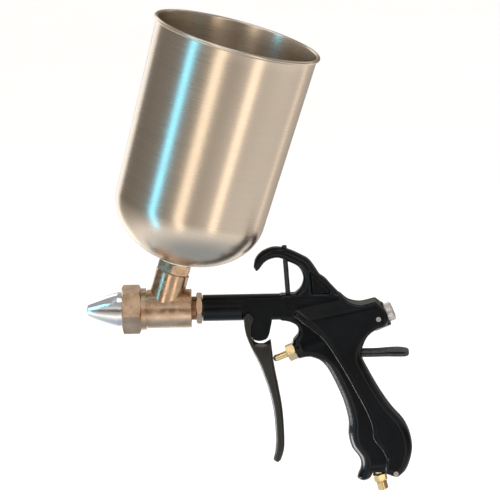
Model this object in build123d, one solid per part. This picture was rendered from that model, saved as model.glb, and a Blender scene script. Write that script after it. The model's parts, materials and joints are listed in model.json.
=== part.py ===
from build123d import *
import math
import os

# Gravity-feed spray gun with an open cup. Millimetres.
# Origin: centre of the nozzle's orifice. +X runs back along the barrel, the spray
# leaves along -X, +Z is up and Y is across the gun.

os.makedirs("parts", exist_ok=True)

# ---------------------------------------------------------------- driving dimensions

RUN_GAP = 0.05            # radial clearance where one piece turns or slides in another
THREAD_GAP = 0.04         # radial clearance in a screwed joint

# Nozzle, on the spray axis: positions are distances behind the orifice.
ORIFICE_R = 2.0
CONE_BASE_R = 11.0
CONE_BASE_X = 19.5
NUT_FRONT_X = 22.2
NUT_REAR_X = 34.6
NUT_ACROSS_FLATS = 28.0
NUT_CORNER_ANGLE = 5.2
LOCK_NUT_CORNER_ANGLE = 9.4
CONE_FLANGE_R = 12.3
COLLAR_R = 13.3
COLLAR_REAR_X = 37.9
NOSE_THREAD_R = 12.45

# Tee and its branch.
TEE_R = 12.4
TEE_FRONT_X = 38.5
TEE_REAR_X = 67.0
CHAMBER_R = 8.6
BRANCH_X = 48.3
BRANCH_TILT = 16.2        # degrees that the cup leans back
BRANCH_R = 10.8
BRANCH_TOP = 25.2         # all heights on the cup's axis start at the spray axis
SPIGOT_R = 8.0

# Neck between tee and barrel.
NECK_R = 7.5
LOCK_NUT_X = 69.9
LOCK_NUT_REAR_X = 73.7
LOCK_NUT_ACROSS_FLATS = 17.5
BARREL_FRONT_X = 74.0
BARREL_R = 8.5
BARREL_BORE_R = 6.0
NIPPLE_REAR_X = 86.0
AIR_BORE_R = 2.4

# Cup.
CUP_FLOOR = 32.9
CUP_DOME_BOTTOM = 31.8
CUP_DOME_TOP = 69.0
CUP_DOME_R = 48.8
CUP_MOUTH_R = 53.0
CUP_TOP = 184.6
CUP_WALL = 0.8
BEAD_R = 1.25
BEAD_CENTRE_R = CUP_MOUTH_R - CUP_WALL + BEAD_R
CURL_END = -150.0         # angle where the rolled edge ends, 180 being at the wall
ADAPTER_ACROSS_FLATS = 20.0
ADAPTER_CORNER_ANGLE = -7.0     # from the left side, -Y, towards the front
ADAPTER_HEX_TOP = 32.1
CUP_NUT_ACROSS_FLATS = 20.0

# Gun body.
CHEEK_HALF = 5.5          # half the width across the trigger lug's cheeks
CHEEK_FRONT_X = 99.0
HOOK_HALF = 5.5
CORE_HALF = 8.0
PANEL_HALF = 9.4

# Trigger.
PIVOT = (103.2, -5.6)
PIN_R = 1.25
ARM_INNER = 5.6
ARM_OUTER = 7.9
ARM_HEAD_R = 3.3

# Valve: its axis rises to the rear; distances start at the face of the gland boss.
VALVE_ORIGIN = (133.2, 0, -28.8)
VALVE_RISE = 21.7
BOSS_R = 6.0
STEM_R = 2.25
STEM_TIP = -15.55
GLAND_ACROSS_FLATS = 10.0
GLAND_LENGTH = 5.9
GLAND_BORE_R = 4.0
PACKING_FRONT = 6.0
PACKING_REAR = 9.0
GALLERY_R = 3.4
SEAT = 16.0
VALVE_CHAMBER_R = 5.5
POPPET_R = 4.6
POPPET_REAR = 25.0
SPRING_WIRE_R = 0.45
SPRING_COIL_R = 3.6
SPRING_TURNS = 6
PLUG_FRONT = 44.0
PLUG_REAR = 60.0
COUNTERBORE_R = 6.5
NEEDLE_TIP = 36.4
NEEDLE_R = 1.5
KNOB_FRONT = 61.2
KNOB_REAR = 67.6
KNOB_R = 6.1
KNOB_FLUTES = 18
NEEDLE_REAR = 65.0
SET_SCREW = 57.3
SET_SCREW_R = 1.6
SET_SCREW_INNER = 5.2

# Air inlet, at the foot of the grip.
INLET_ORIGIN = (185.6, 0, -110.6)
INLET_TILT = 13.0
INLET_THREAD_R = 3.6
INLET_ACROSS_FLATS = 7.6
INLET_SEAL_R = 4.4
INLET_SPIGOT_R = 3.4
INLET_BORE_R = 2.0

# Outlines of the casting in the XZ plane, as points (x, z) along smooth curves.
HOOK_OUTER = [(107.0, 26.4), (108.1, 31.4), (111.7, 35.8), (117.9, 38.8), (124.0, 39.1),
              (130.0, 37.4), (137.0, 34.1), (143.1, 30.1), (149.3, 20.8)]
HOOK_INNER = [(132.5, 8.5), (137.0, 13.0), (138.6, 19.2), (136.0, 25.8), (129.5, 29.6),
              (123.1, 32.2), (117.7, 31.4), (113.9, 29.1), (110.7, 25.0)]
BACK = [(149.3, 20.8), (152.9, 18.2), (156.6, 13.9), (161.9, 8.1), (167.2, 3.6),
        (174.8, 1.6), (184.5, 3.6)]
POD_END = [(184.5, 3.6), (190.4, -1.8), (192.3, -7.2), (191.0, -12.2), (185.4, -14.4)]
NECK_BACK = [(185.4, -14.4), (179.8, -18.8), (176.4, -25.3), (175.2, -33.0),
             (180.0, -43.9), (187.0, -56.6), (194.0, -67.1), (201.9, -76.6),
             (205.8, -86.0), (206.6, -95.8), (203.5, -106.3), (199.4, -111.2),
             (196.1, -112.6), (189.6, -110.4)]
TOE = [(181.4, -110.6), (179.4, -114.0), (175.4, -115.4), (171.6, -113.6),
       (172.0, -110.6), (173.6, -106.4), (173.1, -100.4), (168.2, -93.0), (166.1, -84.6),
       (166.2, -74.8), (162.6, -60.6), (155.0, -43.6), (149.2, -35.9), (143.0, -33.0)]
GLAND_FOOT = [(143.0, -33.0), (135.6, -33.0)]
GLAND_TOP = (131.4, -22.0)
UNDERSIDE = [(131.4, -22.0), (134.7, -17.6), (134.4, -12.6), (129.8, -9.6), (124.0, -8.5)]
CREASE = [(131.0, 2.0), (134.0, -4.3), (140.8, -9.9), (147.6, -15.5), (153.6, -21.9),
          (164.1, -39.4), (172.5, -55.6), (178.1, -66.8), (182.0, -77.3), (183.0, -86.0),
          (188.5, -93.7), (191.0, -99.0), (189.6, -110.4)]
LUG = [(118.2, -8.5), (116.2, -17.4), (114.0, -20.4), (109.9, -21.4), (106.0, -20.3),
       (104.3, -17.6), (102.0, -8.5)]

# Stay in the hook, pin at the heel and the hanging strap.
STAY_FOOT = (129.0, 4.6)
STAY_TOP = (126.9, 40.0)
STAY_R = 1.6
HEEL_PIN = (196.2, -109.6)
HEEL_PIN_R = 1.6
STRAP_ROOT_X = 170.5
STRAP_END_X = 206.0
STRAP_Z = -31.3
STRAP_PLY = 2.4
STRAP_HALF = 4.0

# Trigger, from the side: down its front, round its tip, up its rear and up the arms.
TRIGGER_FRONT = [(101.4, -16.9), (106.6, -30.0), (110.4, -38.6), (115.4, -54.0),
                 (118.4, -69.0), (119.4, -85.5), (118.9, -95.0), (117.6, -100.5)]
TRIGGER_TIP = (120.2, -102.0)
TRIGGER_REAR = [(122.4, -100.5), (124.4, -94.0), (124.9, -85.5), (124.1, -69.0),
                (121.9, -54.0), (119.1, -38.6), (118.1, -30.0), (117.2, -22.6)]
ARM_REAR = [(112.4, -25.2), (107.2, -24.2), (105.2, -19.5), (104.8, -12.0)]
TRIGGER_HALF_WIDTHS = [(ARM_OUTER, 0.0), (ARM_OUTER, -30.0), (6.6, -54.0), (5.0, -85.5),
                       (4.2, -103.0)]
SADDLE_Z = -25.5          # top of the blade between the arms

# ---------------------------------------------------------------- frames and helpers


def tilted(origin, direction):
    """A frame on a part's own axis: its z runs along the axis, its x points to -Y."""
    return Plane(origin=origin, x_dir=(0, -1, 0), z_dir=direction)


def up_rear(degrees):
    """Unit vector in the XZ plane that rises to the rear by this angle."""
    angle = math.radians(degrees)
    return (math.cos(angle), 0, math.sin(angle))


SPRAY = tilted((0, 0, 0), (1, 0, 0))
CUP = tilted((BRANCH_X, 0, 0), up_rear(90 - BRANCH_TILT))
VALVE = tilted(VALVE_ORIGIN, up_rear(VALVE_RISE))
INLET = tilted(INLET_ORIGIN, up_rear(INLET_TILT - 90))


def turned(points):
    """Solid of revolution about z from a closed outline of (radius, height) points."""
    outline = Plane.XZ * Polyline(*points, close=True)
    return revolve(make_face(outline.edges()), Axis.Z)


def ring(outer, inner, low, high):
    return turned([(inner, low), (outer, low), (outer, high), (inner, high)])


def rod(radius, low, high):
    return turned([(0, low), (radius, low), (radius, high), (0, high)])


def hexagon(across_flats, low, high, corner_angle=0.0, chamfer_size=0.8):
    """Hexagon bar with chamfered corners and one corner at this angle from local x."""
    sketch = RegularPolygon(across_flats / 2, 6, major_radius=False, rotation=corner_angle)
    bar = extrude(Pos(0, 0, low) * sketch, high - low)
    corner_r = across_flats / 2 / math.cos(math.pi / 6)
    edge_r = corner_r - 2 * chamfer_size
    lathe = turned([(0, low), (edge_r, low), (corner_r, low + chamfer_size),
                    (corner_r, high - chamfer_size), (edge_r, high), (0, high)])
    return bar & lathe


def side_face(*runs):
    """Closed face in the XZ plane; each run is a smooth curve, a pair of points a line."""
    edges = [Line(*run) if len(run) == 2 else Spline(*run) for run in runs]
    return make_face((Plane.XZ * (Curve() + edges)).edges())


def side_plate(half_width, *runs):
    return extrude(side_face(*runs), half_width, both=True)


def cross_rod(radius, x, z, half_length):
    """Round bar across the gun."""
    return Pos(x, 0, z) * Rot(90, 0, 0) * Cylinder(radius, 2 * half_length)


def rounded(solid, edges, radius):
    """Round these edges, with a smaller radius where the wanted one can't be made."""
    for share in (1.0, 0.75, 0.5, 0.3):
        try:
            result = fillet(edges, radius * share)
        except Exception:
            continue
        if result.is_valid and result.volume > 0.5 * solid.volume:
            return result
    return solid


def rim_edges(plate, half_width, keep=lambda centre: True):
    """The outline edges on both faces of a plate."""
    return [edge for edge in plate.edges()
            if abs(abs(edge.center().Y) - half_width) < 1e-3
            and abs(edge.bounding_box().size.Y) < 1e-3 and keep(edge.center())]


# ---------------------------------------------------------------- nozzle and tee


def nozzle_cone():
    """Cone with a gently bulging side, a short base and a flange that the nut holds."""
    tip = Polyline((ORIFICE_R, 0), (3.1, 0))
    lip = ThreePointArc((3.1, 0), (3.8, 0.35), (4.2, 1.0))
    side = ThreePointArc((4.2, 1.0), (7.5, 8.6), (CONE_BASE_R, CONE_BASE_X))
    back = Polyline((CONE_BASE_R, CONE_BASE_X), (CONE_BASE_R, 25.2), (CONE_FLANGE_R, 25.2),
                    (CONE_FLANGE_R, 27.6), (8.6, 27.6), (8.2, 19.0), (ORIFICE_R, 4.6),
                    (ORIFICE_R, 0))
    outline = Plane.XZ * (Curve() + [tip, lip, side, back])
    return SPRAY * revolve(make_face(outline.edges()), Axis.Z)


def nozzle_nut():
    body = hexagon(NUT_ACROSS_FLATS, NUT_FRONT_X, NUT_REAR_X, NUT_CORNER_ANGLE, 1.3)
    body -= rod(CONE_BASE_R + RUN_GAP, NUT_FRONT_X - 1, 25.2)
    body -= rod(NOSE_THREAD_R + THREAD_GAP, 25.15, NUT_REAR_X + 1)
    return SPRAY * body


def nozzle_gasket():
    return SPRAY * ring(CONE_FLANGE_R, CHAMBER_R, 27.6, 28.4)


def tee_body():
    """Tee: threaded nose, grooved collar, barrel and a branch that leans back."""
    barrel = turned([(0, 28.4), (NOSE_THREAD_R, 28.4), (NOSE_THREAD_R, NUT_REAR_X + 0.2),
                     (COLLAR_R, NUT_REAR_X + 0.2), (COLLAR_R, COLLAR_REAR_X), (11.7, COLLAR_REAR_X),
                     (11.7, TEE_FRONT_X), (TEE_R, TEE_FRONT_X), (TEE_R, TEE_REAR_X - 0.4),
                     (TEE_R - 0.4, TEE_REAR_X), (0, TEE_REAR_X)])
    branch = turned([(0, 0), (BRANCH_R, 0), (BRANCH_R, BRANCH_TOP - 0.4),
                     (BRANCH_R - 0.4, BRANCH_TOP), (0, BRANCH_TOP)])
    body = SPRAY * barrel + CUP * branch
    body -= SPRAY * rod(CHAMBER_R, 28, 58)
    body -= SPRAY * rod(NECK_R + 0.2 + THREAD_GAP, 57, TEE_REAR_X + 1)
    body -= CUP * rod(SPIGOT_R, 16, BRANCH_TOP + 1)
    body -= CUP * rod(6.2, 0, 17)
    return body


def barrel_nipple():
    """Neck screwed into the tee; its rear end turns in the barrel when unlocked."""
    thread_r = NECK_R + 0.2
    body = turned([(3.0, 58.4), (thread_r, 58.4), (thread_r, 66.6), (NECK_R, 66.6),
                   (NECK_R, BARREL_FRONT_X - 0.2), (BARREL_BORE_R, BARREL_FRONT_X - 0.2),
                   (BARREL_BORE_R, NIPPLE_REAR_X), (3.0, NIPPLE_REAR_X)])
    body -= rod(4.5, 58, 62.5)
    return SPRAY * body


def air_jet():
    """Air tube on the spray axis, with a shoulder that seats in the nipple."""
    return SPRAY * turned([(1.0, 9.0), (1.5, 9.0), (2.4, 13.0), (2.4, 58.8), (4.45, 58.8),
                           (4.45, 62.4), (1.0, 62.4)])


def lock_nut():
    body = hexagon(LOCK_NUT_ACROSS_FLATS, LOCK_NUT_X, LOCK_NUT_REAR_X,
                   LOCK_NUT_CORNER_ANGLE, 0.7)
    return SPRAY * (body - rod(NECK_R + RUN_GAP, LOCK_NUT_X - 1, LOCK_NUT_REAR_X + 1))


# ---------------------------------------------------------------- cup


def cup_adapter():
    body = hexagon(ADAPTER_ACROSS_FLATS, BRANCH_TOP, ADAPTER_HEX_TOP, ADAPTER_CORNER_ANGLE)
    body += rod(SPIGOT_R - THREAD_GAP, 17.2, BRANCH_TOP)
    body += rod(SPIGOT_R - THREAD_GAP, ADAPTER_HEX_TOP, 42.5)
    return CUP * (body - rod(5.5, 10, 50))


def cup_gasket():
    return CUP * ring(11.0, SPIGOT_R, ADAPTER_HEX_TOP, CUP_FLOOR)


def cup_washer():
    return CUP * ring(11.5, SPIGOT_R, CUP_FLOOR + CUP_WALL, CUP_FLOOR + CUP_WALL + 0.8)


def cup_nut():
    low = CUP_FLOOR + CUP_WALL + 0.8
    body = hexagon(CUP_NUT_ACROSS_FLATS, low, low + 5.0, ADAPTER_CORNER_ANGLE)
    return CUP * (body - rod(SPIGOT_R, low - 1, low + 6))


def cup_side(inset):
    """Half outline of the cup from its flat floor up the dome to the wall's top."""
    radius = CUP_DOME_R - inset
    height = CUP_DOME_TOP - CUP_DOME_BOTTOM - inset
    floor = CUP_FLOOR + inset
    floor_angle = math.asin((CUP_DOME_TOP - floor) / height)
    floor_r = radius * math.cos(floor_angle)
    dome = [(radius * math.cos(floor_angle * (1 - step / 8)),
             CUP_DOME_TOP - height * math.sin(floor_angle * (1 - step / 8)))
            for step in range(9)]
    return floor_r, floor, Spline(*dome)


def cup_bottom():
    """Elliptical bottom of the cup, with a flat round its hole."""
    outer_r, outer_floor, outer_dome = cup_side(0)
    inner_r, inner_floor, inner_dome = cup_side(CUP_WALL)
    hole_r = SPIGOT_R + 0.1
    edges = [
        Line((hole_r, outer_floor), (outer_r, outer_floor)),
        outer_dome,
        Line((CUP_DOME_R, CUP_DOME_TOP), (CUP_DOME_R - CUP_WALL, CUP_DOME_TOP)),
        inner_dome,
        Line((inner_r, inner_floor), (hole_r, inner_floor)),
        Line((hole_r, inner_floor), (hole_r, outer_floor)),
    ]
    return CUP * revolve(make_face((Plane.XZ * (Curve() + edges)).edges()), Axis.Z)


def cup_wall():
    """Tapered wall of the cup, from the top of its bottom to its rolled rim."""
    bead_height = CUP_TOP - BEAD_R
    edges = [
        Line((CUP_DOME_R, CUP_DOME_TOP), (CUP_MOUTH_R, bead_height)),
        curl_arc(BEAD_R - CUP_WALL),
        Line(curl_point(BEAD_R - CUP_WALL, CURL_END), curl_point(BEAD_R, CURL_END)),
        curl_arc(BEAD_R),
        Line((CUP_MOUTH_R - CUP_WALL, bead_height), (CUP_DOME_R - CUP_WALL, CUP_DOME_TOP)),
        Line((CUP_DOME_R - CUP_WALL, CUP_DOME_TOP), (CUP_DOME_R, CUP_DOME_TOP)),
    ]
    return CUP * revolve(make_face((Plane.XZ * (Curve() + edges)).edges()), Axis.Z)


def curl_point(radius, angle):
    """Point of the rim's rolled edge, on a circle of this radius round the wire."""
    turn = math.radians(angle)
    return (BEAD_CENTRE_R + radius * math.cos(turn),
            CUP_TOP - BEAD_R + radius * math.sin(turn))


def curl_arc(radius):
    """The sheet rolls from the wall over the top and outside, nearly back to the wall."""
    middle = (180 + CURL_END) / 2
    return ThreePointArc(curl_point(radius, 180), curl_point(radius, middle),
                         curl_point(radius, CURL_END))


def cup_rim_wire():
    wire_r = BEAD_R - CUP_WALL - RUN_GAP
    return CUP * Pos(0, 0, CUP_TOP - BEAD_R) * Torus(BEAD_CENTRE_R, wire_r)


# ---------------------------------------------------------------- gun body


def hook():
    inner_end = HOOK_INNER[-1]
    tip = [inner_end, (108.5, 24.0), HOOK_OUTER[0]]
    plate = side_plate(HOOK_HALF, HOOK_OUTER, BACK[:4], [BACK[3], (150.0, 6.0)],
                       [(150.0, 6.0), (132.5, 6.0)], [(132.5, 6.0), HOOK_INNER[0]],
                       HOOK_INNER, tip)
    round_edges = rim_edges(plate, HOOK_HALF, lambda centre: centre.Z > 12)
    return rounded(plate, round_edges, 2.6)


def core():
    """Middle of the casting and the whole grip, with a rounded nose along its front."""
    top = [(124.0, 8.5), (150.0, 8.5)]
    plate = side_plate(CORE_HALF, top, [top[-1], BACK[3]], BACK[3:], POD_END, NECK_BACK,
                       [NECK_BACK[-1], TOE[0]], TOE, GLAND_FOOT, [GLAND_FOOT[-1], GLAND_TOP],
                       UNDERSIDE, [UNDERSIDE[-1], top[0]])
    grip_edges = rim_edges(plate, CORE_HALF, lambda centre: centre.Z < -30)
    return rounded(plate, grip_edges, 4.5)


def panel():
    """Raised flat on each side of the grip and pod, behind the long crease."""
    top = [(161.9, 7.4), (167.2, 3.4), (174.8, 1.4), (184.0, 3.4)]
    end = [(184.0, 3.4), (190.0, -1.8), (191.9, -7.2), (190.6, -12.0), (185.2, -14.2)]
    back = [(x - 0.5, z) for x, z in NECK_BACK[1:-2]]
    plate = side_plate(PANEL_HALF, CREASE, [CREASE[-1], (196.1, -112.2)],
                       [(196.1, -112.2)] + back[::-1] + [end[-1]], end[::-1], top[::-1],
                       [top[0], CREASE[0]])
    return rounded(plate, rim_edges(plate, PANEL_HALF), 1.6)


def lug():
    """Flat-cheeked block under the rear of the barrel that carries the trigger."""
    low_front, top_front = (CHEEK_FRONT_X, -BARREL_R), (CHEEK_FRONT_X, BARREL_R)
    top_rear, low_rear = (134.0, BARREL_R), (134.0, -BARREL_R)
    return side_plate(CHEEK_HALF, LUG, [LUG[-1], low_front], [low_front, top_front],
                      [top_front, top_rear], [top_rear, low_rear], [low_rear, LUG[0]])


def gun_body():
    body = SPRAY * rod(BARREL_R, BARREL_FRONT_X, CHEEK_FRONT_X + 0.5)
    body += lug() + hook() + core() + panel()
    body += VALVE * rod(BOSS_R, 0, 20)
    body += VALVE * rod(8.2, 52, 63.2)
    # air way: barrel, riser, valve bore and the long drilling up the grip
    body -= SPRAY * rod(AIR_BORE_R, BARREL_FRONT_X - 1, 145.0)
    body -= SPRAY * rod(BARREL_BORE_R + RUN_GAP, BARREL_FRONT_X - 1, NIPPLE_REAR_X + 1)
    body -= Pos(142.6, 0, -12.5) * Cylinder(2.2, 25.0)
    body -= VALVE * rod(GLAND_BORE_R, -1, PACKING_REAR)
    body -= VALVE * rod(GALLERY_R, 0, SEAT + 1)
    body -= VALVE * rod(VALVE_CHAMBER_R, SEAT, PLUG_REAR + 1)
    body -= VALVE * rod(COUNTERBORE_R, PLUG_REAR, 75)
    body -= INLET * rod(INLET_THREAD_R + THREAD_GAP, -12, 5)
    body -= INLET * rod(INLET_SEAL_R + 0.2, 0, 6)
    body -= INLET * rod(2.8, -93, 0)
    body -= cross_rod(PIN_R + 0.02, PIVOT[0], PIVOT[1], 20)
    body -= stay_rod(THREAD_GAP)
    body -= cross_rod(HEEL_PIN_R + 0.02, HEEL_PIN[0], HEEL_PIN[1], 20)
    body -= set_screw_bar(SET_SCREW_R + THREAD_GAP, 15.0)
    body -= strap_root(0.05)
    return body


# ---------------------------------------------------------------- pieces on the body


def stay_frame():
    rise = (STAY_TOP[0] - STAY_FOOT[0], 0, STAY_TOP[1] - STAY_FOOT[1])
    return tilted((STAY_FOOT[0], 0, STAY_FOOT[1]), rise)


def stay_length():
    return math.dist(STAY_FOOT, STAY_TOP)


def stay_rod(extra=0.0):
    return stay_frame() * rod(STAY_R + extra, 0, stay_length() + 5)


def hook_stay():
    """Rod from barrel to hook, its top end riveted over."""
    top = stay_length()
    shape = turned([(0, 0.1), (STAY_R, 0.1), (STAY_R, top - 0.4), (1.3, top), (0, top)])
    return stay_frame() * shape


def heel_pin():
    return cross_rod(HEEL_PIN_R, HEEL_PIN[0], HEEL_PIN[1], PANEL_HALF + 0.25)


def set_screw_bar(radius, outer_end):
    """Bar across the left side of the pod, from the groove of the valve plug outwards."""
    return VALVE * Pos(0, 0, SET_SCREW) * Rot(0, 90, 0) * rod(radius, SET_SCREW_INNER, outer_end)


def plug_set_screw():
    return set_screw_bar(SET_SCREW_R, PANEL_HALF + 0.2)


def strap_root(extra=0.0):
    depth = 10.0
    return (Pos(STRAP_ROOT_X + depth / 2, 0, STRAP_Z)
            * Box(depth + 2 * extra, 2 * STRAP_HALF + 2 * extra, 2 * STRAP_PLY + 2 * extra))


def hang_strap():
    """Doubled strap: two plies that part at the rear, where the strap turns back."""
    low = STRAP_Z - STRAP_PLY
    high = STRAP_Z + STRAP_PLY
    bend = STRAP_END_X - STRAP_PLY
    face = side_face([(STRAP_ROOT_X, low), (185.0, low)],
                     [(185.0, low), (192.0, low + 0.5), (199.0, low + 0.1), (bend, low)],
                     [(bend, low), (STRAP_END_X - 0.7, low + 0.7), (STRAP_END_X, STRAP_Z),
                      (STRAP_END_X - 0.7, high - 0.7), (bend, high)],
                     [(bend, high), (199.0, high + 0.9), (192.0, high + 0.8),
                      (184.0, high - 0.4), (178.0, high)],
                     [(178.0, high), (STRAP_ROOT_X, high)],
                     [(STRAP_ROOT_X, high), (STRAP_ROOT_X, low)])
    return extrude(face, STRAP_HALF, both=True)


# ---------------------------------------------------------------- valve and adjuster


def gland_nut():
    body = hexagon(GLAND_ACROSS_FLATS, -GLAND_LENGTH, 0, 0.0, 0.6)
    body += rod(GLAND_BORE_R - THREAD_GAP, 0, PACKING_FRONT)
    return VALVE * (body - rod(STEM_R + RUN_GAP, -10, 10))


def gland_packing():
    return VALVE * ring(GLAND_BORE_R - 0.02, STEM_R + RUN_GAP, PACKING_FRONT, PACKING_REAR)


def valve_stem():
    """Push rod with a domed tip, thinner where the air flows round it."""
    tip = [(0, STEM_TIP), (1.2, STEM_TIP + 0.3), (STEM_R, STEM_TIP + 1.4)]
    return VALVE * turned(tip + [(STEM_R, 9.6), (1.5, 10.4), (1.5, 24.0), (0, 24.0)])


def valve_poppet():
    return VALVE * turned([(1.5, 17.4), (POPPET_R, 17.4), (POPPET_R, POPPET_REAR), (2.5, POPPET_REAR),
                           (2.5, 30.0), (0, 30.0), (0, 24.0), (1.5, 24.0)])


def poppet_seal():
    return VALVE * ring(POPPET_R, 1.5, SEAT + 0.05, 17.4)


def valve_spring():
    """Open turns of round wire between poppet and plug."""
    low = POPPET_REAR + SPRING_WIRE_R + 0.1
    high = PLUG_FRONT - SPRING_WIRE_R - 0.1
    pitch = (high - low) / SPRING_TURNS
    helix = Helix(pitch=pitch, height=high - low, radius=SPRING_COIL_R)
    wire = sweep(Plane(origin=helix @ 0, z_dir=helix % 0) * Circle(SPRING_WIRE_R), path=helix)
    return VALVE * Pos(0, 0, low) * wire


def valve_plug():
    body = turned([(NEEDLE_R + RUN_GAP, PLUG_FRONT), (VALVE_CHAMBER_R - THREAD_GAP, PLUG_FRONT),
                   (VALVE_CHAMBER_R - THREAD_GAP, 55.5), (4.9, 55.5), (4.9, 59.1),
                   (VALVE_CHAMBER_R - THREAD_GAP, 59.1), (VALVE_CHAMBER_R - THREAD_GAP, PLUG_REAR),
                   (NEEDLE_R + RUN_GAP, PLUG_REAR), (NEEDLE_R + RUN_GAP, 52.0), (3.0, 52.0),
                   (3.0, 50.0), (NEEDLE_R + RUN_GAP, 50.0)])
    return VALVE * body


def plug_o_ring():
    return VALVE * ring(2.98, NEEDLE_R + RUN_GAP, 50.1, 51.9)


def adjuster_needle():
    return VALVE * turned([(0, NEEDLE_TIP), (0.8, NEEDLE_TIP), (NEEDLE_R, NEEDLE_TIP + 1.2),
                           (NEEDLE_R, NEEDLE_REAR), (0, NEEDLE_REAR)])


def adjuster_knob():
    """Knob with lengthwise flutes and a slightly crowned end."""
    crown = 0.8
    body = turned([(NEEDLE_R + 0.01, KNOB_FRONT), (KNOB_R - 0.4, KNOB_FRONT),
                   (KNOB_R, KNOB_FRONT + 0.4), (KNOB_R, KNOB_REAR - crown),
                   (KNOB_R - crown, KNOB_REAR), (0, KNOB_REAR),
                   (0, NEEDLE_REAR + RUN_GAP), (NEEDLE_R + 0.01, NEEDLE_REAR + RUN_GAP)])
    for step in range(KNOB_FLUTES):
        turn = Rot(0, 0, 360 * step / KNOB_FLUTES)
        body -= turn * Pos(KNOB_R + 0.25, 0, KNOB_FRONT - 1) * Cylinder(
            0.6, 12, align=(Align.CENTER, Align.CENTER, Align.MIN))
    return VALVE * body


# ---------------------------------------------------------------- inlet


def inlet_seal():
    return INLET * ring(INLET_SEAL_R, INLET_THREAD_R, 0, 0.8)


def air_inlet():
    body = hexagon(INLET_ACROSS_FLATS, 0.8, 5.4, 15.0, 0.5)
    body += rod(INLET_THREAD_R, -11.5, 0.8)
    body += turned([(0, 5.4), (2.9, 5.4), (2.9, 6.0), (INLET_SPIGOT_R, 6.0),
                    (INLET_SPIGOT_R, 10.6), (2.9, 11.2), (0, 11.2)])
    return INLET * (body - rod(INLET_BORE_R, -13, 13))


# ---------------------------------------------------------------- trigger


def trigger_side():
    """Outline of blade and arms seen from the side, with a round head at the pivot."""
    head = (PIVOT[0] - ARM_HEAD_R, PIVOT[1])
    nape = (PIVOT[0] + ARM_HEAD_R, PIVOT[1])
    front = Spline(head, *TRIGGER_FRONT)
    tip = ThreePointArc(TRIGGER_FRONT[-1], TRIGGER_TIP, TRIGGER_REAR[0])
    rear = Spline(*TRIGGER_REAR)
    arm = Spline(TRIGGER_REAR[-1], *ARM_REAR, nape)
    top = ThreePointArc(nape, (PIVOT[0], PIVOT[1] + ARM_HEAD_R), head)
    return make_face((Plane.XZ * (Curve() + [front, tip, rear, arm, top])).edges())


def trigger_width():
    """Bar along the gun whose section is the outline of the trigger seen from the front."""
    left = [(-y, z) for y, z in TRIGGER_HALF_WIDTHS]
    outline = Plane.YZ * Polyline(*TRIGGER_HALF_WIDTHS, *left[::-1], close=True)
    return extrude(make_face(outline.edges()), 140, dir=(1, 0, 0))


def trigger():
    """Blade with two arms that straddle the lug and turn on the pivot pin."""
    body = extrude(trigger_side(), ARM_OUTER + 2, both=True) & trigger_width()
    body -= Pos(PIVOT[0], 0, SADDLE_Z + 20) * Box(40, 2 * ARM_INNER, 40)
    return body - cross_rod(PIN_R + RUN_GAP, PIVOT[0], PIVOT[1], 20)


def trigger_pin():
    half_length = 9.0
    pin = cross_rod(PIN_R, PIVOT[0], PIVOT[1], half_length)
    for side in (-1, 1):
        groove = Cylinder(PIN_R + 1, 0.6) - Cylinder(PIN_R - 0.3, 0.6)
        pin -= Pos(PIVOT[0], side * 8.3, PIVOT[1]) * Rot(90, 0, 0) * groove
    return pin


def trigger_clips():
    """Two open retaining clips in the grooves of the pivot pin."""
    clips = []
    for side in (-1, 1):
        clip = Cylinder(2.4, 0.5) - Cylinder(PIN_R - 0.29, 0.5)
        clip -= Pos(2.0, 0, 0) * Box(4.0, 1.7, 1.0)
        clips.append(Pos(PIVOT[0], side * 8.3, PIVOT[1]) * Rot(90, 0, 0) * clip)
    return Compound(clips)


# ---------------------------------------------------------------- write the pieces

PIECES = [
    gun_body, hook_stay, heel_pin, hang_strap, air_inlet, inlet_seal, gland_nut,
    gland_packing, valve_stem, valve_poppet, poppet_seal, valve_spring, valve_plug,
    plug_o_ring, plug_set_screw, adjuster_needle, adjuster_knob, trigger, trigger_pin,
    trigger_clips, lock_nut, barrel_nipple, air_jet, tee_body, nozzle_gasket, nozzle_cone,
    nozzle_nut, cup_adapter, cup_gasket, cup_washer, cup_nut, cup_bottom, cup_wall,
    cup_rim_wire,
]

for piece in PIECES:
    shape = piece()
    export_step(shape, "parts/" + piece.__name__ + ".step")
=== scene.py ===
import json
import math

import bpy
import numpy as np
from mathutils import Matrix, Vector

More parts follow.
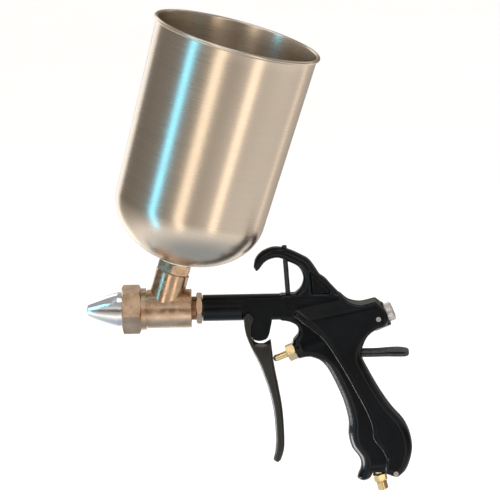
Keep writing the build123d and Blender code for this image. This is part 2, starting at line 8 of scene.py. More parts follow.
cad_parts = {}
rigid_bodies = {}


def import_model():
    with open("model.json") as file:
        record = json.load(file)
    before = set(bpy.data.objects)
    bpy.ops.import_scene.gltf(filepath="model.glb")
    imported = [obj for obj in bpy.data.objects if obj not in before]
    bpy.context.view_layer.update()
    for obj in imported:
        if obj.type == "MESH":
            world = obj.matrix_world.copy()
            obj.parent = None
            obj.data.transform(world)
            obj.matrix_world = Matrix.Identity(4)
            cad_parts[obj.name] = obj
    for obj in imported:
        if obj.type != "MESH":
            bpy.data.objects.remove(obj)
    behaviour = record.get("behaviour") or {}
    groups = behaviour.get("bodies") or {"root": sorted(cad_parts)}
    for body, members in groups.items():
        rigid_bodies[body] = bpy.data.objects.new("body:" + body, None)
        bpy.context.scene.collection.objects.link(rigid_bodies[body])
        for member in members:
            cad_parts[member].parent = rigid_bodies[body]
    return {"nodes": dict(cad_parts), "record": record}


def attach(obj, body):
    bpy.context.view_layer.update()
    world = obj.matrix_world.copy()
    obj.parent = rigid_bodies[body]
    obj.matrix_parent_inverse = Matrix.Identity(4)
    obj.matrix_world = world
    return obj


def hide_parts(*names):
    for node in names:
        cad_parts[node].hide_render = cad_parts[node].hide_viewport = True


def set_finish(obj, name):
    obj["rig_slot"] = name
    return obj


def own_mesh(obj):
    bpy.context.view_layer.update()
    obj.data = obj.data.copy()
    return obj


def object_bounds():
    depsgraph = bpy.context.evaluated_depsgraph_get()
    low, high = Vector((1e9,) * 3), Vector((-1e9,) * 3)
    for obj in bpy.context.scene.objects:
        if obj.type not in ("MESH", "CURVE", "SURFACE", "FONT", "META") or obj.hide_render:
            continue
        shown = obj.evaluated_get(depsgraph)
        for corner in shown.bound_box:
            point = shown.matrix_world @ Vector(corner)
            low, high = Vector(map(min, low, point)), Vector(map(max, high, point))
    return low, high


# Looks of the gravity-feed spray gun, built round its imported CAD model.
# Sizes are millimetres in the part's own frame; MM turns them into metres.

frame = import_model()
cad_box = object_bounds()

MM = 0.001

# ---------------------------------------------------------------- sizes, in millimetres

BARREL_R = 8.5
BARREL_FRONT_X = 74.0
CHEEK_FRONT_X = 99.0
CHEEK_REAR_X = 135.0
CHEEK_HALF = 5.5
HOOK_HALF = 5.0
PANEL_HALF = 9.4
PIVOT = (103.2, -5.6)
PIN_R = 1.25

VALVE_ORIGIN = (133.2, -28.8)
VALVE_RISE = math.radians(21.7)
BOSS_R = 6.0
POD_BOSS_R = 8.2

INLET_ORIGIN = (185.6, -110.6)
INLET_TILT = math.radians(13.0)

CUP_TILT = math.radians(16.2)
BRANCH_X = 48.3
CUP_WALL = 0.8
CUP_MOUTH_R = 53.0
CUP_DOME_R = 48.8
CUP_FLOOR = 32.9
CUP_DOME_BOTTOM = 31.8
CUP_DOME_TOP = 69.0
CUP_TOP = 184.6
BEAD_R = 1.25

# Outlines of the casting, (x, z) along smooth curves.
HOOK_OUTER = [(107.0, 26.4), (108.1, 31.4), (111.7, 35.8), (117.9, 38.8), (124.0, 39.1),
              (130.0, 37.4), (137.0, 34.1), (143.1, 30.1), (149.3, 20.8)]
HOOK_INNER = [(132.5, 8.5), (137.0, 13.0), (138.6, 19.2), (136.0, 25.8), (129.5, 29.6),
              (123.1, 32.2), (117.7, 31.4), (113.9, 29.1), (110.7, 25.0)]
BACK = [(149.3, 20.8), (152.9, 18.2), (156.6, 13.9), (161.9, 8.1), (167.2, 3.6),
        (174.8, 1.6), (184.5, 3.6)]
POD_END = [(184.5, 3.6), (190.4, -1.8), (192.3, -7.2), (191.0, -12.2), (185.4, -14.4)]
NECK_BACK = [(185.4, -14.4), (179.8, -18.8), (176.4, -25.3), (175.2, -33.0),
             (180.0, -43.9), (187.0, -56.6), (194.0, -67.1), (201.9, -76.6),
             (205.8, -86.0), (206.6, -95.8), (203.5, -106.3), (199.4, -111.2),
             (196.1, -112.6), (189.6, -110.4)]
TOE = [(181.4, -110.6), (179.4, -114.0), (175.4, -115.4), (171.6, -113.6),
       (172.0, -110.6), (173.6, -106.4), (173.1, -100.4), (168.2, -93.0), (166.1, -84.6),
       (166.2, -74.8), (162.6, -60.6), (155.0, -43.6), (149.2, -35.9), (143.0, -33.0)]
GLAND_FACE = [(135.6, -33.0), (131.4, -22.0)]
UNDERSIDE = [(131.4, -22.0), (134.7, -17.6), (134.4, -12.6), (129.8, -9.6), (124.0, -8.5)]
CREASE = [(131.0, 2.0), (134.0, -4.3), (140.8, -9.9), (147.6, -15.5), (153.6, -21.9),
          (164.1, -39.4), (172.5, -55.6), (178.1, -66.8), (182.0, -77.3), (183.0, -86.0),
          (188.5, -93.7), (191.0, -99.0), (189.6, -110.4)]
LUG = [(118.2, -8.5), (116.2, -17.4), (114.0, -20.4), (109.9, -21.4), (106.0, -20.3),
       (104.3, -17.6), (102.0, -8.5)]
# The panel thickens over PANEL_SLOPE below a line through PANEL_TOP.
PANEL_TOP = (131.0, 2.0)
PANEL_TOP_RISE = 0.206
PANEL_SLOPE = 14.0
PANEL_BURIED = 4.8
RIDGE_R = [(-112, 0.9), (-60, 1.0), (-25, 1.4), (-8, 1.7), (4, 1.5)]
RIDGE_PROUD = 0.8
RECESS = [(143.4, 22.6), (155.6, 10.4), (152.0, 5.6), (144.6, 8.4)]

# Values at heights z along the casting: half width in front of the crease, and roundings.
FRONT_HALF = [(-110, 7.9), (-55, 7.8), (-35, 7.2), (-20, 6.2), (-8, 5.4), (5, 5.4)]
FRONT_ROUND = [(-110, 7.6), (-40, 6.8), (-28, 4.5), (-12, 2.6), (5, 2.4)]
CREASE_ROUND = [(-110, 1.2), (-45, 1.4), (-22, 2.6), (-8, 3.4), (5, 3.4)]
BACK_ROUND = [(-110, 5.0), (-36, 5.0), (-22, 3.2), (-12, 2.2), (0, 1.5)]

# Trigger, from the side, and its half width at heights z.
TRIGGER_FRONT = [(99.9, -5.6), (101.4, -16.9), (106.6, -30.0), (110.4, -38.6),
                 (115.4, -54.0), (118.4, -69.0), (119.4, -85.5), (118.9, -95.0),
                 (117.6, -100.5)]
TRIGGER_TIP = [(117.6, -100.5), (120.2, -102.0), (122.4, -100.5)]
TRIGGER_REAR = [(122.4, -100.5), (124.4, -94.0), (124.9, -85.5), (124.1, -69.0),
                (121.9, -54.0), (119.1, -38.6), (118.1, -30.0), (117.2, -22.6)]
ARM_REAR = [(117.2, -22.6), (112.4, -25.2), (107.2, -24.2), (105.2, -19.5),
            (104.8, -12.0), (106.5, -5.6)]
ARM_TOP = [(106.5, -5.6), (103.2, -2.3), (99.9, -5.6)]
TRIGGER_HALF = [(-103, 4.2), (-85.5, 5.0), (-54, 6.6), (-30, 7.9), (0, 7.9)]
TRIGGER_ROUND = [(-103, 2.3), (-60, 2.5), (-32, 2.2), (-24, 0.9), (0, 0.7)]
ARM_INNER = 5.6
SADDLE_Z = -25.5

# ---------------------------------------------------------------- solid shapes from distances


def smooth_curve(points, steps=8):
    """Points along a curve that passes smoothly through these points."""
    p = np.array(points, float)
    p = np.vstack([2 * p[0] - p[1], p, 2 * p[-1] - p[-2]])
    t = np.linspace(0, 1, steps, endpoint=False)[:, None]
    runs = []
    for a, b, c, d in zip(p, p[1:], p[2:], p[3:]):
        runs.append(0.5 * (2 * b + (c - a) * t + (2 * a - 5 * b + 4 * c - d) * t ** 2
                           + (3 * b - a - 3 * c + d) * t ** 3))
    return np.vstack(runs + [p[-2][None]])


def joined(*runs):
    """Closed outline from runs of points; a run of two points is a straight line."""
    return np.vstack([smooth_curve(run) if len(run) > 2 else np.array(run, float)
                      for run in runs])


def outline_distance(x, z, outline):
    """Distance of grid points to a closed outline, negative inside it."""
    nearest = np.full(np.broadcast(x, z).shape, np.inf)
    inside = np.zeros(nearest.shape, bool)
    for (ax, az), (bx, bz) in zip(outline, np.roll(outline, -1, axis=0)):
        ex, ez = bx - ax, bz - az
        length = ex * ex + ez * ez
        if length < 1e-12:
            continue
        along = np.clip(((x - ax) * ex + (z - az) * ez) / length, 0, 1)
        nearest = np.minimum(nearest, (x - ax - ex * along) ** 2 + (z - az - ez * along) ** 2)
        if ez:
            inside ^= ((az > z) != (bz > z)) & (x < ax + ex / ez * (z - az))
    return np.where(inside, -1.0, 1.0) * np.sqrt(nearest)


def plate(flat, across, half, rounding):
    """Distance to a plate with rounded edges, from distances to its outline and middle."""
    a = flat + rounding
    b = across - half + rounding
    return (np.minimum(np.maximum(a, b), 0)
            + np.hypot(np.maximum(a, 0), np.maximum(b, 0)) - rounding)


def blend_min(a, b, width):
    """Union of two shapes with a fillet of about this width."""
    share = np.clip(0.5 + 0.5 * (b - a) / width, 0, 1)
    return b * (1 - share) + a * share - width * share * (1 - share)


def blend_max(a, b, width):
    return -blend_min(-a, -b, width)


def profile(table, z):
    """Value at each height from a table of (height, value)."""
    heights, values = zip(*table)
    return np.interp(z, heights, values)


class Grid:
    """Half of a grid of points, from the middle plane outwards, in millimetres."""

    def __init__(self, low, high, step):
        self.step = step
        self.low = (low[0], low[1])
        self.x = np.arange(low[0], high[0], step)[:, None, None]
        self.y = np.arange(0, high[2] + step, step)[None, :, None]
        self.z = np.arange(low[1], high[1], step)[None, None, :]

    def outline(self, points):
        flat = outline_distance(self.x[:, 0, :], self.z[0], points)
        return flat[:, None, :]

    def line(self, points):
        """Distance in the side view to an open run of points."""
        flat = outline_distance(self.x[:, 0, :], self.z[0],
                                np.vstack([points, points[::-1]]))
        return np.abs(flat)[:, None, :]

    def axis(self, origin, angle):
        """Position along, and distance from, an axis in the middle plane."""
        dx, dz = self.x - origin[0], self.z - origin[1]
        along = dx * math.cos(angle) + dz * math.sin(angle)
        off = dz * math.cos(angle) - dx * math.sin(angle)
        return along, np.hypot(self.y, off)

    def rod(self, origin, angle, radius, low, high, rounding=0.0):
        along, off = self.axis(origin, angle)
        middle, half = (low + high) / 2, (high - low) / 2
        return plate(off - radius, np.abs(along - middle), half, rounding)

    def cross_hole(self, radius, place):
        return np.hypot(self.x - place[0], self.z - place[1]) - radius


def surface_net(field, low, step):
    """Vertices and quads of the zero level of a grid of distances, negative inside."""
    inside = field < 0
    shape = tuple(n - 1 for n in field.shape)
    corners = [(i, j, k) for i in (0, 1) for j in (0, 1) for k in (0, 1)]

    def at(grid, corner):
        return grid[tuple(slice(c, c + n) for c, n in zip(corner, shape))]

    count = sum(at(inside, c).astype(np.int8) for c in corners)
    active = (count > 0) & (count < 8)
    cells = np.argwhere(active)
    number = np.full(shape, -1)
    number[active] = np.arange(len(cells))
    values = {c: at(field, c)[active] for c in corners}
    total = np.zeros((len(cells), 3))
    hits = np.zeros(len(cells))
    for a in corners:
        for axis in range(3):
            if a[axis]:
                continue
            b = tuple(1 if i == axis else v for i, v in enumerate(a))
            cross = (values[a] < 0) != (values[b] < 0)
            part = values[a][cross] / (values[a][cross] - values[b][cross])
            point = np.array(a, float)[None] + part[:, None] * (np.array(b) - np.array(a))
            total[cross] += point
            hits[cross] += 1
    vertices = np.array(low) + step * (cells + total / hits[:, None])
    quads = []
    for axis in range(3):
        u, v = (axis + 1) % 3, (axis + 2) % 3
        inner = [slice(None)] * 3
        inner[u] = inner[v] = slice(1, None)
        core = [slice(0, shape[i]) if i == axis else slice(1, shape[i]) for i in range(3)]
        start = inside[tuple(core)]
        shifted = list(core)
        shifted[axis] = slice(1, shape[axis] + 1)
        end = inside[tuple(shifted)]
        for flip, mask in ((False, start & ~end), (True, ~start & end)):
            place = np.argwhere(mask)
            place[:, u] += 1
            place[:, v] += 1
            ring = []
            for du, dv in ((0, 0), (1, 0), (1, 1), (0, 1)):
                cell = place.copy()
                cell[:, u] -= du
                cell[:, v] -= dv
                ring.append(number[tuple(cell.T)])
            quad = np.stack(ring, 1)
            quads.append(quad[:, ::-1] if flip else quad)
    return vertices, np.vstack(quads)


def relaxed(vertices, quads, rounds, push=0.5, pull=-0.52):
    """Even out the grid's ripples without shrinking the shape."""
    edges = np.vstack([quads[:, [i, (i + 1) % 4]] for i in range(4)])
    a, b = edges.T
    degree = np.bincount(a, minlength=len(vertices)) + np.bincount(b, minlength=len(vertices))
    for step in range(2 * rounds):
        mean = np.stack([np.bincount(a, vertices[b, i], len(vertices))
                         + np.bincount(b, vertices[a, i], len(vertices))
                         for i in range(3)], 1) / degree[:, None]
        vertices = vertices + (push if step % 2 == 0 else pull) * (mean - vertices)
    return vertices


def new_object(name, vertices, faces, body, slot, smooth=True):
    mesh = bpy.data.meshes.new(name)
    mesh.from_pydata(np.asarray(vertices).tolist(), [], [list(map(int, f)) for f in faces])
    mesh.validate()
    mesh.shade_smooth() if smooth else mesh.shade_flat()
    piece = bpy.data.objects.new(name, mesh)
    bpy.context.scene.collection.objects.link(piece)
    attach(piece, body)
    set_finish(piece, slot)
    return piece


def from_field(name, grid, field, body, slot, rounds=3):
    """Mesh of a half field, mirrored about the middle plane."""
    whole = np.concatenate([field[:, :0:-1, :], field], axis=1)
    low = (grid.low[0], -(field.shape[1] - 1) * grid.step, grid.low[1])
    vertices, quads = surface_net(whole, low, grid.step)
    vertices = relaxed(vertices, quads, rounds)
    return new_object(name, vertices * MM, quads, body, slot)


# ---------------------------------------------------------------- casting


def casting_solid(grid):
    """The casting without its bores: barrel, lug, hook, web, panel, bosses and grip."""
    z = grid.z
    barrel = grid.rod((0, 0), 0.0, BARREL_R, BARREL_FRONT_X, CHEEK_FRONT_X + 0.4, 0.4)
    cheeks = blend_max(grid.rod((0, 0), 0.0, BARREL_R, CHEEK_FRONT_X - 1, CHEEK_REAR_X, 0.5),
                       grid.y - CHEEK_HALF, 0.7)
    lug_outline = joined(LUG, [LUG[-1], (102.0, 0.0)], [(118.2, 0.0), LUG[0]])
    lug = plate(grid.outline(lug_outline), grid.y, CHEEK_HALF, 0.9)
    hook_outline = joined(HOOK_OUTER, BACK[:4], [BACK[3], (150.0, 4.0)],
                          [(133.0, 4.0), HOOK_INNER[0]], HOOK_INNER,
                          [HOOK_INNER[-1], (108.7, 23.8), HOOK_OUTER[0]])
    hook = plate(grid.outline(hook_outline), grid.y, HOOK_HALF, 3.8)
    recess = plate(grid.outline(np.array(RECESS)), np.abs(grid.y - 7.0), 4.6, 0.8)
    hook = blend_max(hook, -recess, 2.6)

    core_outline = joined([(124.0, 8.5), (150.0, 8.5)], [(150.0, 8.5), BACK[3]], BACK[3:],
                          POD_END, NECK_BACK, [NECK_BACK[-1], TOE[0]], TOE,
                          [TOE[-1], GLAND_FACE[0]], GLAND_FACE, UNDERSIDE)
    core_flat = grid.outline(core_outline)
    front = plate(core_flat, grid.y, profile(FRONT_HALF, z), profile(FRONT_ROUND, z))
    region = joined(CREASE, [CREASE[-1], (189.0, -125.0)], [(230.0, -125.0), (230.0, 30.0)],
                    [(128.0, 14.0), CREASE[0]])
    below = ((grid.x - PANEL_TOP[0]) * PANEL_TOP_RISE - (z - PANEL_TOP[1])) / PANEL_SLOPE
    share = np.clip(below, 0, 1)
    half = PANEL_BURIED + (PANEL_HALF - PANEL_BURIED) * share * share * (3 - 2 * share)
    panel = np.maximum(plate(grid.outline(region), grid.y, half, profile(CREASE_ROUND, z)),
                       plate(core_flat, grid.y, half, profile(BACK_ROUND, z)))

    solid = np.minimum(cheeks, lug)
    solid = blend_min(solid, front, 0.6)
    solid = blend_min(solid, hook, 0.8)
    solid = blend_min(solid, panel, 1.0)
    ridge_r = profile(RIDGE_R, z)
    ridge = np.hypot(grid.line(smooth_curve(CREASE[1:-1])),
                     grid.y - np.maximum(half, 5.4) - RIDGE_PROUD + ridge_r) - ridge_r
    solid = blend_min(solid, ridge, 0.7)
    boss = grid.rod(VALVE_ORIGIN, VALVE_RISE, BOSS_R, 0, 20, 0.5)
    solid = blend_min(solid, boss, 1.6)
    pod_boss = grid.rod(VALVE_ORIGIN, VALVE_RISE, POD_BOSS_R, 52, 63.2, 0.7)
    solid = blend_min(solid, pod_boss, 1.2)
    return np.minimum(solid, barrel)


def casting_bores(grid):
    """Everything that is drilled or milled out of the casting."""
    valve = (VALVE_ORIGIN, VALVE_RISE)
    inlet = (INLET_ORIGIN, INLET_TILT - math.pi / 2)
    bores = [
        grid.rod((0, 0), 0.0, 2.4, BARREL_FRONT_X - 1, 145.0),
        grid.rod((0, 0), 0.0, 6.05, BARREL_FRONT_X - 1, 87.0),
        grid.rod((142.6, -12.5), math.pi / 2, 2.2, -12.5, 12.5),
        grid.rod(*valve, 4.0, -1, 9.0),
        grid.rod(*valve, 3.4, 0, 17.0),
        grid.rod(*valve, 5.5, 16.0, 61.0),
        grid.rod(*valve, 6.5, 60.0, 75.0),
        grid.rod(*inlet, 3.64, -12.0, 5.0),
        grid.rod(*inlet, 4.7, 0.0, 6.0),
        grid.rod(*inlet, 2.8, -93.0, 0.0),
        grid.cross_hole(PIN_R + 0.05, PIVOT),
    ]
    slot = np.maximum(np.maximum(np.abs(grid.x - 175.5) - 5.1, np.abs(grid.z + 31.3) - 2.6),
                      grid.y - 4.2)
    bores.append(slot)
    return bores


def casting():
    grid = Grid((73.0, -117.5), (208.5, 41.0, 11.0), 0.42)
    solid = casting_solid(grid)
    for bore in casting_bores(grid):
        solid = np.maximum(solid, -bore)
    piece = from_field("casting", grid, solid, "gun", "black_enamel", rounds=4)
    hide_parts("gun_body")
    return piece


# ---------------------------------------------------------------- trigger and strap


def trigger_blade():
    """Cast blade with rounded edges, and two arms round the lug."""
    grid = Grid((97.0, -104.5), (127.5, 0.5, 9.5), 0.33)
    outline = joined(TRIGGER_FRONT, TRIGGER_TIP, TRIGGER_REAR, ARM_REAR, ARM_TOP)
    solid = plate(grid.outline(outline), grid.y, profile(TRIGGER_HALF, grid.z),
                  profile(TRIGGER_ROUND, grid.z))
    slot = np.maximum(grid.y - ARM_INNER, SADDLE_Z - grid.z)
    solid = blend_max(solid, -slot, 0.5)
    solid = np.maximum(solid, -grid.cross_hole(PIN_R + 0.05, PIVOT))
    piece = from_field("trigger_blade", grid, solid, "trigger", "black_trigger", rounds=3)
    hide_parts("trigger")
    return piece


STRAP_ROOT_X = 171.0
STRAP_Z = -31.3
STRAP_PLY = 2.0
STRAP_HALF = 3.9


def strap():
    """Doubled strap: one long strip that turns back on itself at its end."""
    upper = [(STRAP_ROOT_X, 1.25), (178.0, 1.2), (186.0, 1.25), (193.0, 1.7), (199.0, 1.8),
             (202.6, 1.35)]
    turn = [(204.4, 0.9), (204.85, 0.0), (204.4, -0.95)]
    lower = [(202.4, -1.35), (198.0, -1.35), (191.0, -1.15), (184.0, -1.2), (177.0, -1.2),
             (STRAP_ROOT_X, -1.2)]
    centre = smooth_curve([(x, STRAP_Z + z) for x, z in upper + turn + lower], 6)
    tangent = np.gradient(centre, axis=0)
    tangent /= np.linalg.norm(tangent, axis=1)[:, None]
    normal = np.stack([-tangent[:, 1], tangent[:, 0]], 1)
    corner, points = 0.45, []
    for angle in range(0, 360, 30):
        turn_by = math.radians(angle)
        side = math.copysign(STRAP_HALF - corner, math.cos(turn_by)) + corner * math.cos(turn_by)
        lift = math.copysign(STRAP_PLY / 2 - corner, math.sin(turn_by)) + corner * math.sin(turn_by)
        points.append((side, lift))
    vertices, faces = [], []
    for place, out in zip(centre, normal):
        for side, lift in points:
            vertices.append((place[0] + out[0] * lift, side, place[1] + out[1] * lift))
    n = len(points)
    for i in range(len(centre) - 1):
        for j in range(n):
            k = (j + 1) % n
            faces.append((i * n + j, i * n + k, (i + 1) * n + k, (i + 1) * n + j))
    faces.append(tuple(range(n))[::-1])
    faces.append(tuple((len(centre) - 1) * n + j for j in range(n)))
    piece = new_object("hanging_strap", np.array(vertices) * MM, faces, "gun", "strap_rubber")
    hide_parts("hang_strap")
    return piece


SPRING_FRONT = 25.0
SPRING_REAR = 44.0
SPRING_GAP = 0.1
SPRING_WIRE_R = 0.45
SPRING_COIL_R = 3.6
SPRING_TURNS = 6


def valve_spring():
    """Coil of round wire along the valve axis, from SPRING_FRONT to SPRING_REAR, on a mesh of its
    own.
    """
    low = SPRING_FRONT + SPRING_WIRE_R + SPRING_GAP
    high = SPRING_REAR - SPRING_WIRE_R - SPRING_GAP
    steps, ring = 40 * SPRING_TURNS, 12
    along = Vector((math.cos(VALVE_RISE), 0, math.sin(VALVE_RISE)))
    across, up = Vector((0, 1, 0)), Vector((-math.sin(VALVE_RISE), 0, math.cos(VALVE_RISE)))
    origin = Vector((VALVE_ORIGIN[0], 0, VALVE_ORIGIN[1]))
    climb = (high - low) / (2 * math.pi * SPRING_TURNS)
    vertices, faces = [], []
    for i in range(steps + 1):
        turn = 2 * math.pi * SPRING_TURNS * i / steps
        out = across * math.cos(turn) + up * math.sin(turn)
        forward = ((up * math.cos(turn) - across * math.sin(turn)) * SPRING_COIL_R
                   + along * climb).normalized()
        side = forward.cross(out)
        centre = origin + along * (low + climb * turn) + out * SPRING_COIL_R
        for j in range(ring):
            angle = 2 * math.pi * j / ring
            vertices.append(centre + (out * math.cos(angle) + side * math.sin(angle))
                            * SPRING_WIRE_R)
    for i in range(steps):
        for j in range(ring):
            k = (j + 1) % ring
            faces.append((i * ring + j, i * ring + k, (i + 1) * ring + k, (i + 1) * ring + j))
    faces.append(tuple(range(ring))[::-1])
    faces.append(tuple(steps * ring + j for j in range(ring)))
    piece = new_object("valve_coil", [tuple(v * MM) for v in vertices], faces, "gun",
                       "spring_steel")
    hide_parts("valve_spring")
    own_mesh(piece)
    return piece


# ---------------------------------------------------------------- cup


def lathe(name, outline, origin, tilt, body, slot, turns=192, closed=True):
    """Turned piece: (radius, height) points round an axis that leans back by tilt."""
    points = np.array(outline, float)
    angles = np.linspace(0, 2 * math.pi, turns, endpoint=False)
    vertices = np.array([(r * math.cos(a), r * math.sin(a), h)
                         for a in angles for r, h in points])
    n = len(points)
    faces = []
    for i in range(turns):
        for j in range(n if closed else n - 1):
            k = (j + 1) % n
            a, b = i * n, (i + 1) % turns * n
            faces.append((a + j, b + j, b + k, a + k))
    mesh = bpy.data.meshes.new(name)
    mesh.from_pydata((vertices * MM).tolist(), [], faces)
    mesh.shade_smooth()
    piece = bpy.data.objects.new(name, mesh)
    bpy.context.scene.collection.objects.link(piece)
    piece.matrix_world = (Matrix.Translation(Vector(origin) * MM)
                          @ Matrix.Rotation(tilt, 4, "Y"))
    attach(piece, body)
    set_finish(piece, slot)
    return piece


def cup_side(inset, steps=28):
    """Points up the dome and the tapered wall, from the flat floor to the bead."""
    radius = CUP_DOME_R - inset
    height = CUP_DOME_TOP - CUP_DOME_BOTTOM - inset
    lowest = math.asin((CUP_DOME_TOP - CUP_FLOOR - inset) / height)
    points = [(radius * math.cos(lowest * (1 - i / steps)),
               CUP_DOME_TOP - height * math.sin(lowest * (1 - i / steps)))
              for i in range(steps + 1)]
    top = CUP_TOP - BEAD_R
    points += [(radius + (CUP_MOUTH_R - CUP_DOME_R) * i / 14,
                CUP_DOME_TOP + (top - CUP_DOME_TOP) * i / 14) for i in range(1, 15)]
    return points


def curl(radius, start, end, steps=18):
    middle = (CUP_MOUTH_R - CUP_WALL + BEAD_R, CUP_TOP - BEAD_R)
    angles = np.radians(np.linspace(start, end, steps))
    return [(middle[0] + radius * math.cos(a), middle[1] + radius * math.sin(a))
            for a in angles]


def cup():
    outer = cup_side(0)
    inner = cup_side(CUP_WALL)
    hole = 8.1
    outline = ([(hole, CUP_FLOOR)] + outer[:-1] + curl(BEAD_R - CUP_WALL, 180, -150)
               + curl(BEAD_R, -150, 180) + inner[:-1][::-1] + [(hole, CUP_FLOOR + CUP_WALL)])
    piece = lathe("cup", outline, (BRANCH_X, 0, 0), CUP_TILT, "head", "cup_steel", 256)
    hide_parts("cup_bottom", "cup_wall")
    return piece


# ---------------------------------------------------------------- materials


class Look:
    """A node material: its Principled shader and short helpers for its textures."""

    def __init__(self, name, colour, metallic=0.0, roughness=0.4, **settings):
        self.material = bpy.data.materials.new(name)
        self.material.use_nodes = True
        self.tree = self.material.node_tree
        self.shader = self.tree.nodes["Principled BSDF"]
        self.shader.inputs["Base Color"].default_value = (*colour, 1)
        self.shader.inputs["Metallic"].default_value = metallic
        self.shader.inputs["Roughness"].default_value = roughness
        for socket, value in settings.items():
            self.shader.inputs[socket.replace("_", " ")].default_value = value

    def node(self, kind, **inputs):
        node = self.tree.nodes.new(kind)
        for key, value in inputs.items():
            node.inputs[key.replace("_", " ")].default_value = value
        return node

    def link(self, a, b):
        self.tree.links.new(a, b)

    def place(self, scale=(1, 1, 1), rotation=(0, 0, 0)):
        """Object coordinates, stretched and turned."""
        where = self.node("ShaderNodeTexCoord")
        mapping = self.node("ShaderNodeMapping", Scale=scale, Rotation=rotation)
        self.link(where.outputs["Object"], mapping.inputs["Vector"])
        return mapping.outputs["Vector"]

    def noise(self, scale, detail=3.0, place=None):
        noise = self.node("ShaderNodeTexNoise", Scale=scale, Detail=detail)
        self.link(place or self.place(), noise.inputs["Vector"])
        return noise.outputs["Fac"]

    def between(self, factor, low, high, start=0.35, end=0.65):
        """A number or colour that goes from low to high as the texture rises."""
        ramp = self.node("ShaderNodeMapRange")
        ramp.inputs["From Min"].default_value = start
        ramp.inputs["From Max"].default_value = end
        self.link(factor, ramp.inputs["Value"])
        if isinstance(low, (int, float)):
            ramp.inputs["To Min"].default_value = low
            ramp.inputs["To Max"].default_value = high
            return ramp.outputs["Result"]
        mix = self.node("ShaderNodeMix")
        mix.data_type = "RGBA"
        mix.inputs["A"].default_value = (*low, 1)
        mix.inputs["B"].default_value = (*high, 1)
        self.tree.links.new(ramp.outputs["Result"], mix.inputs["Factor"])
        return mix.outputs["Result"]

    def colour(self, output):
        self.link(output, self.shader.inputs["Base Color"])

    def rough(self, output):
        self.link(output, self.shader.inputs["Roughness"])

    def bump(self, height, strength, distance):
        bump = self.node("ShaderNodeBump", Strength=strength, Distance=distance)
        self.link(height, bump.inputs["Height"])
        earlier = self.shader.inputs["Normal"]
        if earlier.is_linked:
            self.link(earlier.links[0].from_socket, bump.inputs["Normal"])
        self.link(bump.outputs["Normal"], earlier)


def black_enamel():
    look = Look("black_enamel", (0.004, 0.006, 0.009), roughness=0.2, Specular_IOR_Level=0.22)
    look.colour(look.between(look.noise(60, 4), (0.001, 0.0018, 0.003), (0.0025, 0.004, 0.006)))
    look.rough(look.between(look.noise(140, 4), 0.17, 0.26))
    look.bump(look.noise(500, 2), 0.02, 0.0002)
    return look.material


def black_satin(name, roughness):
    look = Look(name, (0.02, 0.02, 0.02), roughness=roughness)
    look.colour(look.between(look.noise(80, 5), (0.005, 0.005, 0.0045), (0.012, 0.012, 0.011)))
    look.rough(look.between(look.noise(260, 4), roughness - 0.06, roughness + 0.1))
    look.bump(look.noise(900, 3), 0.15, 0.0002)
    return look.material


def rubber(name, low, high):
    look = Look(name, low, roughness=0.75)
    look.colour(look.between(look.noise(500, 5), low, high))
    look.rough(look.between(look.noise(900, 3), 0.65, 0.85))
    look.bump(look.noise(1800, 3), 0.3, 0.0002)
    return look.material


def turned_metal(name, low, high, roughness, lines=0.08):
    """Metal with fine turning lines, stains and uneven polish."""
    look = Look(name, low, metallic=1.0, roughness=roughness)
    look.colour(look.between(look.noise(90, 6), low, high, 0.3, 0.7))
    look.rough(look.between(look.noise(220, 5), roughness - 0.05, roughness + 0.1))
    look.bump(look.noise(60, 2, look.place((40, 1, 1))), lines, 0.0002)
    return look.material


def brushed_steel():
    """Spun steel: fine rings round the cup's own axis, so highlights run along it."""
    look = Look("cup_steel", (0.72, 0.64, 0.56), metallic=1.0, roughness=0.36, Anisotropic=0.6)
    look.shader.inputs["Anisotropic Rotation"].default_value = 0.25
    tangent = look.node("ShaderNodeTangent")
    tangent.direction_type = "RADIAL"
    tangent.axis = "Z"
    look.link(tangent.outputs["Tangent"], look.shader.inputs["Tangent"])
    rings = look.noise(40, 4, look.place((0.4, 0.4, 60)))
    look.rough(look.between(rings, 0.25, 0.33, 0.2, 0.8))
    look.colour(look.between(look.noise(30, 5, look.place((1, 1, 0.4))), (0.58, 0.51, 0.43),
                             (0.66, 0.58, 0.5), 0.2, 0.8))
    look.bump(rings, 0.04, 0.0002)
    return look.material


MATERIALS = {
    "black_enamel": black_enamel(),
    "black_rod": black_satin("black_rod", 0.38),
    "black_trigger": black_satin("black_trigger", 0.34),
    "strap_rubber": rubber("strap_rubber", (0.025, 0.025, 0.026), (0.05, 0.05, 0.052)),
    "black_rubber": rubber("black_rubber", (0.02, 0.02, 0.02), (0.035, 0.035, 0.035)),
    "white_seal": rubber("white_seal", (0.78, 0.76, 0.7), (0.86, 0.85, 0.8)),
    "yellow_brass": turned_metal("yellow_brass", (0.78, 0.62, 0.33), (0.86, 0.74, 0.48), 0.26),
    "copper_brass": turned_metal("copper_brass", (0.5, 0.34, 0.23), (0.72, 0.54, 0.4), 0.24),
    "dark_brass": turned_metal("dark_brass", (0.2, 0.1, 0.05), (0.32, 0.18, 0.1), 0.35),
    "plated_steel": turned_metal("plated_steel", (0.6, 0.6, 0.6), (0.75, 0.75, 0.74), 0.25),
    "spring_steel": turned_metal("spring_steel", (0.42, 0.42, 0.42), (0.55, 0.55, 0.54), 0.3),
    "knob_metal": turned_metal("knob_metal", (0.66, 0.66, 0.67), (0.8, 0.8, 0.8), 0.3),
    "polished_chrome": turned_metal("polished_chrome", (0.8, 0.82, 0.85), (0.88, 0.9, 0.92),
                                    0.1, 0.02),
    "cup_steel": brushed_steel(),
}


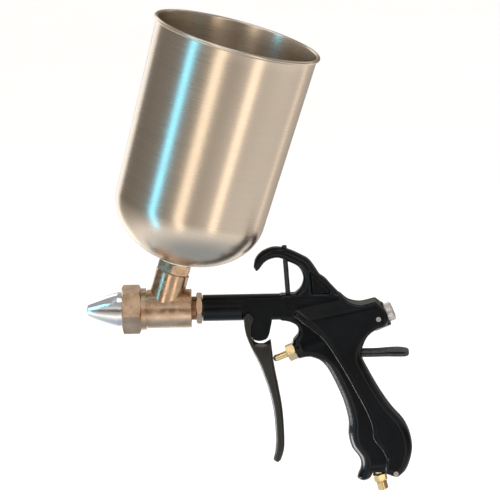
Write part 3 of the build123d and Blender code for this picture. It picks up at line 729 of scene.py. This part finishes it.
def dress():
    """Give every CAD node the material of its slot in the record, and new pieces theirs."""
    slots = {part["node"]: part["material_slot"] for part in frame["record"]["subparts"]}
    for name, node in frame["nodes"].items():
        node.data.materials.clear()
        node.data.materials.append(MATERIALS[slots[name]])
    for piece in bpy.data.objects:
        if piece.type == "MESH" and "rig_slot" in piece:
            piece.data.materials.clear()
            piece.data.materials.append(MATERIALS[piece["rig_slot"]])


# ---------------------------------------------------------------- camera, floor and light

LOOK_AT = Vector((0.1050, 0, 0.0374))
CAMERA_DISTANCE = 5.0
CAMERA_ELEVATION = math.radians(12.0)
CAMERA_ROLL = math.radians(1.08)
SENSOR = 36.0
FOCAL_PIXELS = 7812.0


def camera():
    data = bpy.data.cameras.new("camera")
    data.sensor_width = SENSOR
    data.lens = SENSOR * FOCAL_PIXELS / 500
    data.clip_end = 50
    item = bpy.data.objects.new("camera", data)
    bpy.context.scene.collection.objects.link(item)
    back = Vector((0, -math.cos(CAMERA_ELEVATION), math.sin(CAMERA_ELEVATION)))
    turn = back.to_track_quat("Z", "Y").to_matrix().to_4x4()
    item.matrix_world = (Matrix.Translation(LOOK_AT + CAMERA_DISTANCE * back) @ turn
                         @ Matrix.Rotation(-CAMERA_ROLL, 4, "Z"))
    bpy.context.scene.camera = item


def floor():
    low = cad_box[0][2] - 0.06
    size = 12.0
    mesh = bpy.data.meshes.new("floor")
    mesh.from_pydata([(-size, -size, low), (size, -size, low), (size, size, low),
                      (-size, size, low)], [], [(0, 1, 2, 3)])
    item = bpy.data.objects.new("floor", mesh)
    bpy.context.scene.collection.objects.link(item)
    look = Look("floor", (0.9, 0.9, 0.9), roughness=0.9)
    look.colour(look.between(look.noise(3), (0.88, 0.88, 0.88), (0.9, 0.9, 0.9)))
    mesh.materials.append(look.material)
    item.visible_glossy = False


def area_light(name, place, target, size, power, colour=(1, 1, 1)):
    data = bpy.data.lights.new(name, "AREA")
    data.shape = "RECTANGLE"
    data.size, data.size_y = size
    data.energy = power
    data.color = colour
    item = bpy.data.objects.new(name, data)
    bpy.context.scene.collection.objects.link(item)
    away = Vector(place) - Vector(target)
    item.matrix_world = (Matrix.Translation(Vector(place))
                         @ away.to_track_quat("Z", "Y").to_matrix().to_4x4())
    return item


def studio():
    """Warm pale room, bright above, with tall strips of light round the object."""
    world = bpy.data.worlds.new("studio")
    bpy.context.scene.world = world
    world.use_nodes = True
    nodes, links = world.node_tree.nodes, world.node_tree.links
    background = nodes["Background"]
    where = nodes.new("ShaderNodeTexCoord")
    split = nodes.new("ShaderNodeSeparateXYZ")
    links.new(where.outputs["Generated"], split.inputs["Vector"])
    ramp = nodes.new("ShaderNodeValToRGB")
    ramp.color_ramp.interpolation = "EASE"
    stops = [(0.0, (0.42, 0.48, 0.54)), (0.2, (1.25, 1.2, 1.12)), (0.3, (0.72, 0.66, 0.59)),
             (0.36, (0.5, 0.45, 0.39)), (0.43, (0.4, 0.36, 0.31)), (0.49, (0.13, 0.12, 0.11)),
             (0.57, (0.2, 0.18, 0.16)), (0.67, (0.76, 0.7, 0.63)), (0.8, (0.4, 0.38, 0.36)),
             (1.0, (0.35, 0.35, 0.35))]
    while len(ramp.color_ramp.elements) < len(stops):
        ramp.color_ramp.elements.new(0.5)
    for element, (place, colour) in zip(ramp.color_ramp.elements, stops):
        element.position = place
        element.color = (*colour, 1)
    up = nodes.new("ShaderNodeMapRange")
    up.inputs["From Min"].default_value = -1
    up.inputs["From Max"].default_value = 1
    links.new(split.outputs["Z"], up.inputs["Value"])
    links.new(up.outputs["Result"], ramp.inputs["Fac"])
    links.new(ramp.outputs["Color"], background.inputs["Color"])
    background.inputs["Strength"].default_value = 1.0

    middle = Vector((0.09, 0, 0.05))

    def strip(name, azimuth, width, power, colour, distance=0.85, height=1.3, lift=0.1):
        angle = math.radians(azimuth)
        place = middle + Vector((math.sin(angle) * distance, -math.cos(angle) * distance, lift))
        return area_light(name, place, middle, (width, height),
                          power * width * height * math.pi, colour)

    strip("strip_front_left", -20, 0.19, 1.9, (1.0, 0.86, 0.68))
    strip("strip_front_right", 32, 0.2, 1.8, (1.0, 0.84, 0.66))
    strip("strip_blue", -60, 0.12, 4.2, (0.16, 0.68, 1.0))
    strip("strip_back_right", 125, 0.1, 1.0, (1.0, 0.82, 0.7))
    strip("strip_back_left", -150, 0.42, 1.2, (1.0, 0.98, 0.95))
    # Low on the left, to run a highlight down the front of the grip and along its crease.
    edge_light = area_light("strip_edges", middle + Vector((-0.5, 0.07, -0.48)), middle,
                            (0.3, 0.5), 7.0, (1.0, 0.99, 0.97))
    lit = bpy.data.collections.new("lit_by_edge_light")
    for piece in bpy.data.objects:
        if piece.name in ("casting", "trigger_blade"):
            lit.objects.link(piece)
    edge_light.light_linking.receiver_collection = lit
    edge_light.light_linking.blocker_collection = lit
    area_light("softbox_top", middle + Vector((-0.1, -0.25, 1.3)), middle, (1.1, 0.7), 4.5)

    sun = bpy.data.lights.new("fill_sun", "SUN")
    sun.energy = 2.3
    sun.angle = math.radians(60)
    item = bpy.data.objects.new("fill_sun", sun)
    bpy.context.scene.collection.objects.link(item)
    item.visible_glossy = False
    item.matrix_world = Matrix.Rotation(math.radians(12), 4, "X")
    bpy.context.scene.view_settings.view_transform = "Standard"


# ---------------------------------------------------------------- the scene

camera()
casting()
trigger_blade()
strap()
valve_spring()
cup()
dress()
floor()
studio()
